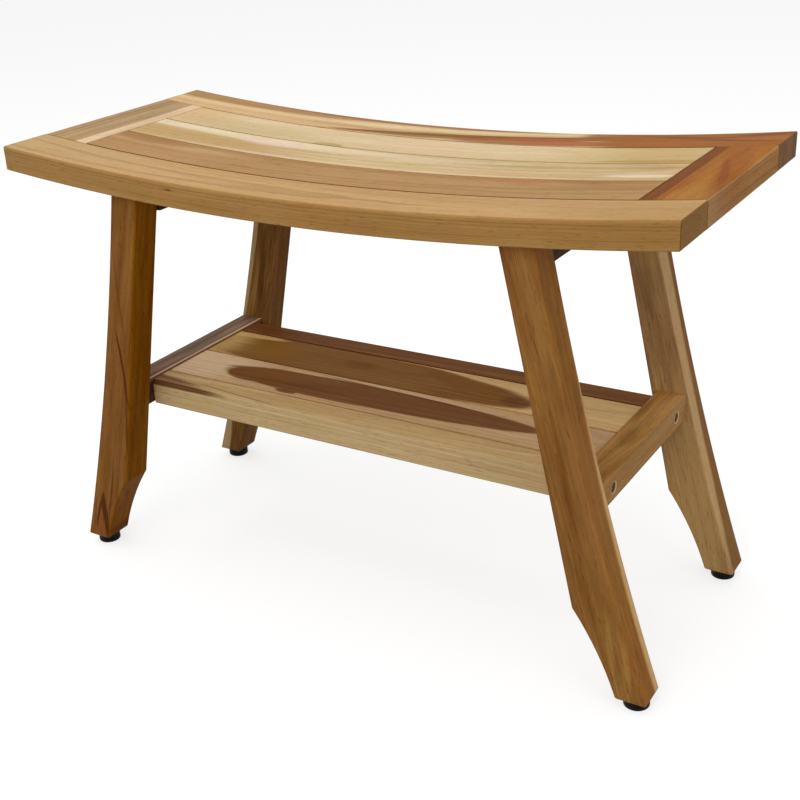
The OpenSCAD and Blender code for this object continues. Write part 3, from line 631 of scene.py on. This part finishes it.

# where the boards' long sides lie, across the board, for the painted shade of the gaps there
railSide, endSide, shelfRailSide = seat["railWide"] / 2, seat["endWide"] / 2, shelf["railWide"] / 2
slatSide, shelfSide = 0.0331, shelf["slatWide"] / 2
slatSides = [(-slatSide, faintGapShade, 0.8), (slatSide, faintGapShade, 0.8)]
shelfSides = [(-shelfSide, faintGapShade, 0.8), (shelfSide, faintGapShade, 0.8)]
looks = {
    "seat_front_rail": look(
        seed=3.1, tones="a67c4a ba9160 c39a68 cfab7a 8d6336",
        heart=(-0.01, -0.05), lean=(0.01, 0.006), band=0.7, sides=[(railSide, gapShade, 0.8)],
        tints={"-y": "front", "+x": "end"},
        patches=[
            patch(-0.36, 0.0, 0.14, 0.05, "bf9f72", soft=0.6),
            patch(0.36, -0.012, 0.1, 0.022, "b08852", amount=0.7, soft=0.6),
            patch(0.1, -0.02, 0.09, 0.004, "b88d58", amount=0.5),
            patch(-0.21, -0.0425, 0.06, 0.0022, "c9a26c", turn=1.0)],
        knots=[{"at": (-0.150, -0.026), "size": (0.0048, 0.0008), "turn": 1.0,
                "rim": "a37c48", "colour": "6f4d26"}]),
    "seat_rear_rail": look(
        seed=7.7, tones="b9936a d2b184 dcc194 e6cfa4 9c7448",
        heart=(0.03, -0.04), lean=(-0.03, 0.01), sides=[(-railSide, faintGapShade, 0.8)],
        tints={"+x": "end"},
        patches=[
            patch(-0.3, -0.018, 0.15, 0.014, "dcb98b", amount=0.7, soft=0.5),
            patch(-0.36, 0.0225, 0.25, 0.0185, "aa8353", slope=0.01, amount=0.9, soft=0.15),
            patch(0.05, -0.009, 0.19, 0.0105, "94622f", slope=0.1, taper=-0.2, amount=0.95, soft=0.06,
                  comb=0.7),
            patch(0.12, -0.019, 0.11, 0.0125, "97592f", slope=0.02, amount=0.85, soft=0.2, comb=0.6),
            patch(-0.03, -0.019, 0.06, 0.0095, "967647", slope=0.04, amount=0.85, soft=0.3),
            patch(-0.05, 0.03, 0.17, 0.011, "a26c40", amount=0.9, soft=0.2, wave=0.002),
            patch(0.2, 0.02, 0.04, 0.014, "965c30", amount=0.85, soft=0.3),
            patch(0.2, 0.015, 0.06, 0.0022, "7a4a22", slope=0.06, amount=0.7),
            patch(-0.02, -0.015, 0.09, 0.0022, "6f3f1a", slope=0.09, amount=0.8, soft=0.3),
            patch(0.12, 0.003, 0.1, 0.002, "6f3f1a", slope=0.09, amount=0.8, soft=0.3),
            patch(0.42, 0.0, 0.235, 0.09, "995a18", amount=0.97, soft=0.07),
            patch(0.28, 0.014, 0.04, 0.004, "6e330e", slope=-0.1, amount=0.8, soft=0.5, comb=0.8),
            patch(0.33, -0.004, 0.05, 0.003, "6e330e", slope=-0.2, amount=0.8, soft=0.5, comb=0.8),
            patch(0.355, 0.018, 0.03, 0.006, "6e330e", slope=0.1, amount=0.7, soft=0.5, comb=0.8),
            patch(0.26, -0.014, 0.04, 0.008, "a8602c", soft=0.5),
            patch(0.36, 0.004, 0.03, 0.005, "b0682c", amount=0.5, soft=0.5),
            patch(0.13, -0.008, 0.05, 0.008, "b4572c", soft=0.5),
            patch(0.16, -0.024, 0.05, 0.005, "b4572c", amount=0.5, soft=0.5)]),
    "seat_left_end_rail": look(
        seed=11.3, tones="927548 a98a5c b3966a c2a67a 7d6238",
        sides=[(endSide, faintGapShade, 0.5)], ends=endHalf,
        patches=[
            patch(0.0, 0.024, 2.0, 0.0078, "dfc092", amount=0.9, soft=0.15, comb=0.15),
            patch(-0.09, -0.006, 0.03, 0.01, "b8955f")]),
    "seat_right_end_rail": look(
        seed=13.9, tones="92551f aa6a33 b8793f c48a50 7a4218",
        sides=[(-endSide, gapShade, 0.8)], ends=endHalf, tints={"+x": "end"},
        patches=[
            patch(0.0, -0.0255, 2.0, 0.008, "7d4620", amount=0.85, soft=0.15, comb=0.2),
            patch(0.03, -0.008, 0.06, 0.007, "b87c50", slope=0.02, amount=0.7, soft=0.5),
            patch(-0.01, 0.012, 0.06, 0.004, "84441c", slope=-0.25, amount=0.7, soft=0.5),
            patch(-0.09, 0.01, 0.045, 0.02, "bd8c62", amount=0.8, soft=0.5),
            patch(0.0, 0.015, 0.1, 0.012, "9a5a2a", slope=-0.15, amount=0.5),
            patch(0.1, 0.006, 0.05, 0.02, "a8693a", soft=0.5)]),
    "seat_front_slat": look(
        seed=17.2, tones="a67a4a b88d5c c19768 cba578 8f6538",
        sides=[(-slatSide, gapShade, 0.8), (slatSide, gapShade, 0.8)], ends=slatStop,
        patches=[
            patch(0.0, 0.03, 2.0, 0.007, "a67c4a", soft=0.4),
            patch(-0.28, 0.022, 0.05, 0.01, "a27746", amount=0.7, soft=0.5),
            patch(0.185, 0.022, 0.025, 0.008, "bb7c55", soft=0.5),
            patch(-0.25, -0.02, 0.09, 0.01, "c79b71", amount=0.5, soft=0.5)]),
    "seat_middle_slat": look(
        seed=19.5, tones="b3925a c6a670 cfb07c dcc092 9a7840", sides=slatSides, ends=slatStop,
        patches=[
            patch(-0.2, 0.024, 0.33, 0.014, "e8d3a6", slope=-0.02, amount=0.9),
            patch(-0.27, -0.01, 0.17, 0.022, "bd9b5e", amount=0.8, soft=0.5),
            patch(-0.15, 0.015, 0.04, 0.01, "e4c8b2", soft=0.5),
            patch(0.0, 0.0, 0.12, 0.03, "d9bd8b", soft=0.6),
            patch(0.04, -0.01, 0.03, 0.008, "c9b468", amount=0.5, soft=0.5),
            patch(0.22, 0.014, 0.13, 0.005, "b89a5e", slope=0.03, amount=0.8),
            patch(0.29, -0.014, 0.035, 0.007, "e9d4ab", amount=0.8, soft=0.5),
            patch(0.0, -0.029, 0.25, 0.004, "e2c595", amount=0.7, soft=0.5)]),
    "seat_rear_slat": look(
        seed=23.8, tones="c6ad7e d9c096 dfc9a0 e8d6b0 b09566", sides=slatSides, ends=slatStop,
        patches=[
            patch(-0.22, -0.012, 0.1, 0.02, "cdb68a", soft=0.5),
            patch(-0.31, 0.01, 0.06, 0.034, "d9b384", amount=0.7, soft=0.6),
            patch(-0.092, -0.0335, 0.02, 0.011, "b39f68", amount=0.8, soft=0.15),
            patch(0.02, 0.0, 0.05, 0.03, "e6c7a4", amount=0.5, soft=0.6),
            patch(0.33, 0.0, 0.13, 0.05, "c6a96a", amount=0.75, soft=0.5),
            patch(0.28, -0.028, 0.06, 0.006, "b08d4d", amount=0.7)]),
    "left_front_leg": look(
        **legWood, seed=29.4, tones="633c14 754b1f 7e5326 8c6030 4d2a0c",
        patches=[
            patch(0.035, -0.0335, 0.03, 0.0017, "4a2409", slope=0.355, amount=0.9),
            patch(0.0, -0.0437, 0.024, 0.0016, "4a2409", slope=0.224, amount=0.85),
            patch(-0.045, -0.048, 0.045, 0.0014, "52290c", slope=0.06, amount=0.7),
            patch(0.11, -0.023, 0.045, 0.002, "63400f", slope=0.25),
            patch(0.15, -0.033, 0.05, 0.003, "8a6128", slope=0.05, amount=0.5, soft=0.6),
            patch(-0.16, -0.0335, 0.045, 0.0014, "5a2f10", amount=0.7),
            patch(-0.196, -0.0235, 0.036, 0.0085, "4a2107", slope=0.05, taper=0.75, amount=0.85,
                  soft=0.15, comb=0.2),
            patch(-0.214, -0.0225, 0.03, 0.0062, "865428", slope=0.05, taper=0.8, amount=0.85, soft=0.3),
            patch(-0.14, -0.011, 0.03, 0.005, "8c6420", amount=0.5, soft=0.6),
            patch(-0.2, -0.004, 0.03, 0.004, "96692f", soft=0.6)]),
    "right_front_leg": look(
        **legWood, seed=31.6, tones="684018 794f22 835927 92682f 542f0e",
        patches=[
            patch(0.145, -0.015, 0.09, 0.006, "8c6330"),
            patch(-0.01, -0.012, 0.1, 0.006, "875c2e"),
            patch(-0.17, -0.022, 0.03, 0.003, "9c7434", slope=0.1, soft=0.6),
            patch(-0.19, -0.01, 0.025, 0.003, "9c7434", slope=0.1, soft=0.6),
            patch(0.02, -0.026, 0.06, 0.0025, "653c12", slope=0.03, amount=0.5, soft=0.6),
            patch(0.09, -0.014, 0.03, 0.006, "6b4418", amount=0.5, soft=0.6),
            patch(-0.13, 0.0185, 0.26, 0.0105, "bf9d68", axis="b", taper=0.35, amount=0.95, soft=0.3,
                  comb=0.3, wave=0.004)]),
    "left_rear_leg": look(
        **legWood, seed=37.1, tones="452a10 55361a 614020 74522e 33200c",
        patches=[
            patch(0.06, -0.0105, 0.11, 0.0042, "8a7050", amount=0.9, soft=0.3),
            patch(-0.21, -0.008, 0.045, 0.0075, "8a7050", amount=0.9, soft=0.3),
            patch(0.05, -0.03, 0.05, 0.005, "3a1f0b", slope=0.1, amount=0.7, soft=0.6)]),
    "right_rear_leg": look(
        **legWood, seed=41.9, tones="66492b 76573a 866540 987650 4f3418",
        patches=[
            patch(-0.16, -0.03, 0.1, 0.03, "937048", amount=0.7, soft=0.6),
            patch(0.0, 0.002, 2.0, 0.0225, "6d4624", turn=1.0, amount=0.85, soft=0.12, comb=0.2),
            patch(0.15, -0.013, 0.385, 0.0108, "ab855f", turn=1.0, slope=0.015, amount=0.9, soft=0.2,
                  comb=0.5)]),
    "left_stretcher": look(
        seed=43.3, tones="3c2c22 4a3a2c 544234 67513c 2f2016", tints={"+x": "inner"},
        patches=[
            # painted highlight along the top inner arris, where its rounding catches the light
            patch(0.0, 0.0305, 2.0, 0.0034, "94785f", turn=1.0, amount=0.9, soft=0.3, comb=0.2, wave=0.001),
            patch(-0.02, -0.004, 0.045, 0.006, "453a2c", soft=0.6),
            patch(-0.06, 0.002, 0.03, 0.004, "67483a", soft=0.6),
            patch(0.075, 0.002, 0.035, 0.005, "6b4e3e", soft=0.6)] + boltHoleLightAndShade("6e5a44", "140b06")),
    "right_stretcher": look(
        seed=47.7, tones="75502a 885f31 936a3c a17a4a 5f3c1a", tints={"+x": "side"},
        patches=[
            patch(-0.01, 0.0, 0.022, 0.008, "704a20", soft=0.6),
            patch(0.058, -0.01, 0.03, 0.004, "6b451a", amount=0.7, soft=0.6),
            patch(0.085, 0.006, 0.035, 0.008, "9c7650", soft=0.6),
            patch(-0.05, -0.012, 0.04, 0.003, "a0784a", amount=0.5, soft=0.6)]
            + boltHoleLightAndShade("cba680", "2a1608")),
    "shelf_front_rail": look(
        seed=53.2, tones="a88a5c b89c6e c0a578 cdb58a 8d6d40",
        # painted shade, faint, in the gap between this rail and the front slat
        sides=[(shelfRailSide, "c9ab7c", 0.8)], tints={"-y": "front"},
        patches=[
            patch(-0.31, 0.005, 0.1, 0.015, "66411f", turn=1.0, taper=0.3, amount=0.9, soft=0.25),
            patch(-0.235, 0.002, 0.07, 0.004, "94704a", turn=1.0, slope=-0.08, amount=0.7, soft=0.3),
            patch(-0.27, -0.004, 0.1, 0.0048, "54290e", turn=1.0, amount=0.9, soft=0.2),
            patch(-0.15, 0.007, 0.06, 0.0012, "7a5a38", turn=1.0, slope=-0.1, amount=0.7)]),
    "shelf_front_slat": look(
        seed=59.8, tones="ad9070 bb9f80 c1a788 ceb698 957850", sides=shelfSides,
        patches=[
            patch(-0.275, 0.004, 0.085, 0.05, "dcc8b2", amount=0.75, soft=0.6),
            patch(-0.004, 0.001, 0.203, 0.0262, "663c18", taper=0.22, amount=0.95, soft=0.05, comb=0.12),
            patch(-0.105, -0.026, 0.014, 0.005, "663c18", amount=0.9, soft=0.2),
            patch(-0.17, -0.0035, 0.032, 0.017, "663c18", amount=0.95, soft=0.1, comb=0.12),
            patch(0.02, 0.0245, 0.12, 0.0014, "4a2610", slope=-0.06, amount=0.7, soft=0.5),
            patch(-0.1, -0.006, 0.05, 0.004, "523013", soft=0.6),
            patch(-0.15, 0.004, 0.045, 0.012, "7b5128", soft=0.6)]),
    "shelf_rear_slat": look(
        seed=61.4, tones="a88a62 bda07a c8ac88 d4ba98 8d6f48", sides=shelfSides,
        patches=[
            patch(-0.11, 0.001, 0.266, 0.043, "70481f", taper=0.05, slope=-0.035, amount=0.95,
                  soft=0.06, comb=0.12),
            patch(0.105, -0.006, 0.038, 0.02, "5f3714", slope=-0.1, amount=0.7, soft=0.5),
            patch(0.095, -0.021, 0.066, 0.012, "6d461d", amount=0.9, soft=0.2, comb=0.15),
            patch(0.078, 0.003, 0.066, 0.013, "70481f", slope=-0.25, amount=0.9, soft=0.15, comb=0.1),
            patch(0.145, -0.013, 0.02, 0.012, "553010", amount=0.85, soft=0.4),
            patch(0.06, 0.0335, 0.13, 0.003, "c0a078", slope=-0.02, amount=0.85, soft=0.3),
            patch(-0.2, 0.002, 0.04, 0.022, "8c6826", amount=0.4, soft=0.7),
            patch(-0.305, 0.0, 0.07, 0.055, "b39262", amount=0.95, soft=0.3, comb=0.4),
            patch(-0.255, 0.028, 0.06, 0.0065, "c6a278", slope=0.04, amount=0.85, soft=0.25),
            patch(-0.068, 0.004, 0.02, 0.01, "5d3715", soft=0.6)]),
    "shelf_rear_rail": look(
        seed=67.9, tones="55301a 66402a 6f4932 7d573e 44250f", sides=[(-shelfRailSide, gapShade, 0.8)]),
    # painted shade: the crossbars under the seat get darkened tones for the shadow they sit in
    "crossbar": look(seed=83.5, tones="3a2412 4a2f19 563822 66452c 24150a"),
    "underside": look(seed=71.5, tones="6f4a26 8f683b a07a4b b59165 6d4420"),
}


wood = {}


def woodFor(name):
    if name not in wood:
        wood[name] = teak(name, looks[name])
    return wood[name]


# seat
for name, sign in (("seat_front_rail", -1), ("seat_rear_rail", 1)):
    yMid = sign * (seat["halfDepth"] - seat["railWide"] / 2)
    corner = (tight, outside, soft, tight) if sign < 0 else (outside, tight, tight, soft)
    rail = boardMesh(name + "_board", -seat["halfLen"], seat["halfLen"], seat["railWide"] / 2,
                     seat["thick"] / 2, onSeat(yMid), corner=corner, endRound=0.0013, rows=60, steps=5)
    standIn(rail, name, "bench", woodFor(name))
for name, sign in (("seat_left_end_rail", -1), ("seat_right_end_rail", 1)):
    xMid = sign * (seat["halfLen"] - seat["endWide"] / 2)
    corner = (tight, outside, soft, tight) if sign < 0 else (outside, tight, tight, soft)
    rail = boardMesh(name + "_board", -endHalf, endHalf, seat["endWide"] / 2, seat["thick"] / 2,
                     acrossSeat(xMid), corner=corner, endRound=0.0004, rows=4, steps=5)
    standIn(rail, name, "bench", woodFor(name))
for name, yMid, slotName in zip(("seat_front_slat", "seat_middle_slat", "seat_rear_slat"), slatMids,
                                ("teak_golden", "teak_pale", "teak_pale")):
    slat = boardMesh(name + "_board", -endIn + 0.0003, slatStop, seatSlatWide / 2,
                     seat["thick"] / 2, onSeat(yMid), corner=(soft,) * 4, endRound=0.0008, rows=50)
    standIn(slat, name, "bench", woodFor(name))
board = boardMesh("seat_batten_board", -batten["halfLen"], batten["halfLen"], batten["half"],
                  batten["halfThick"], alongY(0.0, float(seatUnderAt(0.0)) - batten["halfThick"]),
                  corner=(soft,) * 4)
standIn(board, "seat_batten", "bench", woodFor("underside"))
print("seat made")

# end frames
for name, sx, sy, slotName in (
        ("left_front_leg", -1, -1, "teak_brown"), ("right_front_leg", 1, -1, "teak_golden"),
        ("left_rear_leg", -1, 1, "teak_brown"), ("right_rear_leg", 1, 1, "teak_tan")):
    leg = makeLeg(name + "_board", sx, sy * legMid)
    standIn(leg, name, "bench", woodFor(name))
for name, side in (("left_crossbar", -1), ("right_crossbar", 1)):
    low = bearing(crossbar["in"]) - crossbar["high"]
    xMid, zMid = side * (crossbar["in"] + crossbar["wide"] / 2), low + crossbar["high"] / 2
    bar = boardMesh(name + "_board", -frameHalf, frameHalf, crossbar["wide"] / 2, crossbar["high"] / 2,
                    underSeat(side, low), corner=(crisp, crisp, soft, soft), endRound=0.0002)
    r, deep = crossbar["screwRadius"], crossbar["screwDeep"]
    sinks = [turned("sink", [(r, low - 0.004), (r, low + deep)], (xMid, y, 0)) for y in slatMids]
    carve(bar, sinks, lambda x, y, z, xMid=xMid, zMid=zMid: (y, x - xMid, z - zMid))
    standIn(bar, name, "bench", woodFor("crossbar"))
for name, side in (("left_stretcher", -1), ("right_stretcher", 1)):
    xMid = side * (stretcher["in"] + stretcher["wide"] / 2)
    zMid = stretcher["top"] - stretcher["high"] / 2
    bar = boardMesh(name + "_board", -frameHalf, frameHalf, stretcher["wide"] / 2, stretcher["high"] / 2,
                    alongY(xMid, zMid), corner=(stretcher["edge"],) * 4, endRound=crisp)
    face, r, c = stretcher["in"] + stretcher["wide"], stretcher["holeRadius"], stretcher["chamfer"]
    profile = [(r, side * (face - stretcher["holeDeep"])), (r, side * (face - c)),
               (r + c, side * face), (r + c, side * (face + 2 * c))]
    sinks = [turned("sink", profile, (0, y, shelf["boltZ"]), "X") for y in (-shelf["boltY"], shelf["boltY"])]
    carve(bar, sinks, lambda x, y, z, xMid=xMid, zMid=zMid: (y, x - xMid, z - zMid))
    standIn(bar, name, "bench", woodFor(name))
print("end frames made")

# shelf
railSize = (shelf["railWide"], shelf["railHigh"])
slatSize = (shelf["slatWide"], shelf["slatThick"])
railMid = shelf["edge"] - shelf["railWide"] / 2
for name, yMid, (wide, thick), slotName in (
        ("shelf_front_rail", -railMid, railSize, "teak_pale"),
        ("shelf_front_slat", -shelf["slatMid"], slatSize, "teak_pale"),
        ("shelf_rear_slat", shelf["slatMid"], slatSize, "teak_golden"),
        ("shelf_rear_rail", railMid, railSize, "teak_brown")):
    board = boardMesh(name + "_board", -shelf["end"], shelf["end"], wide / 2, thick / 2,
                      alongX(yMid, shelf["top"] - thick / 2), corner=(soft,) * 4, endRound=0.0005)
    standIn(board, name, "bench", woodFor(name))
cleatEnd = shelf["edge"] - shelf["railWide"]
cleatMid = shelf["top"] - shelf["slatThick"] - shelf["cleatThick"] / 2
for name, side in (("left_shelf_cleat", -1), ("middle_shelf_cleat", 0), ("right_shelf_cleat", 1)):
    cleat = boardMesh(name + "_board", -cleatEnd, cleatEnd, shelf["cleatHalf"], shelf["cleatThick"] / 2,
                      alongY(side * shelf["cleatX"], cleatMid), corner=(crisp, crisp, soft, soft),
                      endRound=crisp)
    standIn(cleat, name, "bench", woodFor("underside"))
print("shelf made")


# Metal, rubber and the feet

metalFinish = {"dirt": 160.0, "dirtTone": "6f675c", "bump": (0.25, 0.0001)}
rubberFinish = {"grit": 2600.0, "dust": 130.0, "clean": "060607", "dusty": "11100f",
                "bump": (0.3, 0.0002), "shine": 0.10}


def metal(name, code, rough, brush):
    # fine scratches along the brushing, with dull dirt over them
    m, w, shader = newMaterial(name)
    here = w.add("ShaderNodeTexCoord", out="Object")
    scratch = here.scaled(*brush).noise(3.0, 0.7)
    dirt = here.scaled(*(metalFinish["dirt"],) * 3).noise(3.0) - 0.5
    colour = (dirt * 0.9 + 0.5).clip().blend(linear(code), linear(metalFinish["dirtTone"]), "MULTIPLY")
    bump = scratch.bump(*metalFinish["bump"])
    rough = rough + (scratch - 0.5) * 0.2 + dirt * 0.15
    feed(w.tree, shader, Base_Color=colour, Metallic=1.0, Roughness=rough, Normal=bump)
    return m


def rubber(name):
    m, w, shader = newMaterial(name)
    here = w.add("ShaderNodeTexCoord", out="Object")
    grit = here.scaled(*(rubberFinish["grit"],) * 3).noise(2.0)
    dust = here.scaled(*(rubberFinish["dust"],) * 3).noise(3.0).between(0.45, 0.75)
    colour = (dust * 0.5).blend(linear(rubberFinish["clean"]), linear(rubberFinish["dusty"]))
    bump = grit.bump(*rubberFinish["bump"])
    feed(w.tree, shader, Base_Color=colour, Roughness=0.42 + dust * 0.25, Normal=bump)
    shader.inputs["Specular IOR Level"].default_value = rubberFinish["shine"]
    return m


screwSteel = metal("screwSteel", "c9c5bd", 0.34, (900.0, 900.0, 120.0))
boltSteel = metal("boltSteel", "a39c90", 0.38, (120.0, 900.0, 900.0))
brass = metal("insertBrass", "c7a35a", 0.36, (900.0, 900.0, 200.0))
blackRubber = rubber("footRubber")
for finish, nodes in (
        (screwSteel, ("left_seat_screws", "right_seat_screws", "batten_screws", "cleat_screws")),
        (boltSteel, ("left_shelf_bolts", "right_shelf_bolts", "barrel_nuts")),
        (brass, ("foot_inserts",)), (wood["underside"], ("leg_dowels",))):
    for node in nodes:
        paint(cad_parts[node], finish)

pad = {"radius": 0.0130, "high": 0.0125, "edge": 0.0014, "groove": 0.0004,
       "grooveAt": (0.0042, 0.0046, 0.0060, 0.0064)}
stem = {"crest": 0.0039, "root": 0.0034, "pitch": 0.00125, "low": 0.0126, "high": 0.0404}


def padProfile(c):
    # from the sole round its edge, up past a shallow groove and round the top's edge
    r, h, e, inner = c["radius"], c["high"], c["edge"], c["radius"] - c["groove"]
    ang = np.linspace(0, np.pi / 2, 6)
    low = [(r - e + e * math.sin(t), e - e * math.cos(t)) for t in ang]
    side = list(zip((r, inner, inner, r, r), c["grooveAt"] + (h - e,)))
    high = [(r - e + e * math.cos(t), h - e + e * math.sin(t)) for t in ang[1:]]
    return [(r * 0.55, 0.0)] + low + side + high + [(r * 0.6, h)]


def threadMesh(name, c, x, y):
    # radius = root + (crest - root) * triangle(z / pitch - angle / 2 pi), closed at both ends
    rows, sides = int((c["high"] - c["low"]) / c["pitch"] * 6), 24
    z = np.linspace(c["low"], c["high"], rows + 1)[:, None]
    angle = np.linspace(0, 2 * np.pi, sides, endpoint=False)[None, :]
    turn = (z / c["pitch"] - angle / (2 * np.pi)) % 1.0
    r = c["root"] + (c["crest"] - c["root"]) * (1 - np.abs(2 * turn - 1))
    r[0, :] = r[-1, :] = c["root"] * 0.9
    grid = np.stack([x + r * np.cos(angle), y + r * np.sin(angle), z + 0 * angle], axis=2).reshape(-1, 3)
    return tubeMesh(name, grid, sides, grid)


for name, sx, sy in (("left_front", -1, -1), ("right_front", 1, -1),
                     ("left_rear", -1, 1), ("right_rear", 1, 1)):
    x, y = sx * footMid, sy * legMid
    drum = turned(name + "_foot_pad_drum", padProfile(pad), (x, y, 0.0), sides=64)
    standIn(drum, name + "_foot_pad", name + "_foot", blackRubber)
    thread = threadMesh(name + "_foot_thread", stem, x, y)
    standIn(thread, name + "_foot_stem", name + "_foot", boltSteel)
print("feet made")


# Stage: a pale floor that keeps the shadow, a white surround for the camera, soft lamps.

studio = {
    "ambient": 0.52, "floorSeen": 0.70, "floorLit": 0.42, "floorHalf": 6, "aim": (0, 0, 0.3),
    "lamps": {                  # place, width and power
        "overhead": ((-0.4, 0.0, 3.0), 2.6, 30.0),
        "frontFill": ((0.2, -2.9, 2.1), 2.4, 40.0),
        "rightFill": ((3.0, -1.2, 1.2), 2.0, 14.0),
    },
}


def seenRays(w):
    # 1 where the camera looks, straight or through a polished or clear thing
    paths = w.tree.nodes.new("ShaderNodeLightPath")
    seen = Wire(w.tree, paths.outputs["Is Camera Ray"])
    for kind in ("Is Glossy Ray", "Is Transmission Ray"):
        seen = seen.calc("MAXIMUM", Wire(w.tree, paths.outputs[kind]))
    return seen


def makeFloor():
    # the camera sees white with the object's shadow in it; other rays meet a plain pale floor
    m, w, shader = newMaterial("paleFloor")
    lit, half = studio["floorLit"], studio["floorHalf"]
    shader.inputs["Base Color"].default_value = (lit, lit, lit, 1)
    shader.inputs["Roughness"].default_value = 0.9
    shader.inputs["Specular IOR Level"].default_value = 0.0
    strength = seenRays(w) * studio["floorSeen"]
    glow = w.add("ShaderNodeEmission", None, {"Color": (1, 1, 1, 1), "Strength": strength})
    both = w.add("ShaderNodeAddShader", None, {0: Wire(w.tree, shader.outputs[0]), 1: glow})
    w.tree.links.new(both.socket, w.tree.nodes["Material Output"].inputs["Surface"])
    mesh = bpy.data.meshes.new("floor")
    corners = [(-half, -half, 0), (half, -half, 0), (half, half, 0), (-half, half, 0)]
    mesh.from_pydata(corners, [], [(0, 1, 2, 3)])
    mesh.materials.append(m)
    addObject("floor", mesh)


def areaLamp(name, place, wide, power):
    data = bpy.data.lights.new(name, "AREA")
    data.shape, data.size, data.energy = "SQUARE", wide, power
    back = np.array(place, float) - np.array(studio["aim"], float)
    back /= np.linalg.norm(back)
    side = np.cross((0, 1, 0) if abs(back[2]) > 0.99 else (0, 0, 1), back)
    side /= np.linalg.norm(side)
    standAt(addObject(name, data), (side, np.cross(back, side), back), place)


def makeSurround():
    # white where it is seen, and dimmer as light on the bench
    world = bpy.data.worlds.new("surround")
    bpy.context.scene.world = world
    world.use_nodes = True
    world.node_tree.nodes.clear()
    sky = Wire(world.node_tree)
    strength = seenRays(sky) * (1.0 - studio["ambient"]) + studio["ambient"]
    light = sky.add("ShaderNodeBackground", None, {"Color": (1, 1, 1, 1), "Strength": strength})
    end = world.node_tree.nodes.new("ShaderNodeOutputWorld")
    world.node_tree.links.new(light.socket, end.inputs["Surface"])


makeFloor()
for name, (place, wide, power) in studio["lamps"].items():
    areaLamp(name, place, wide, power)
makeSurround()
bpy.context.scene.view_settings.view_transform = "Standard"
print("stage made")
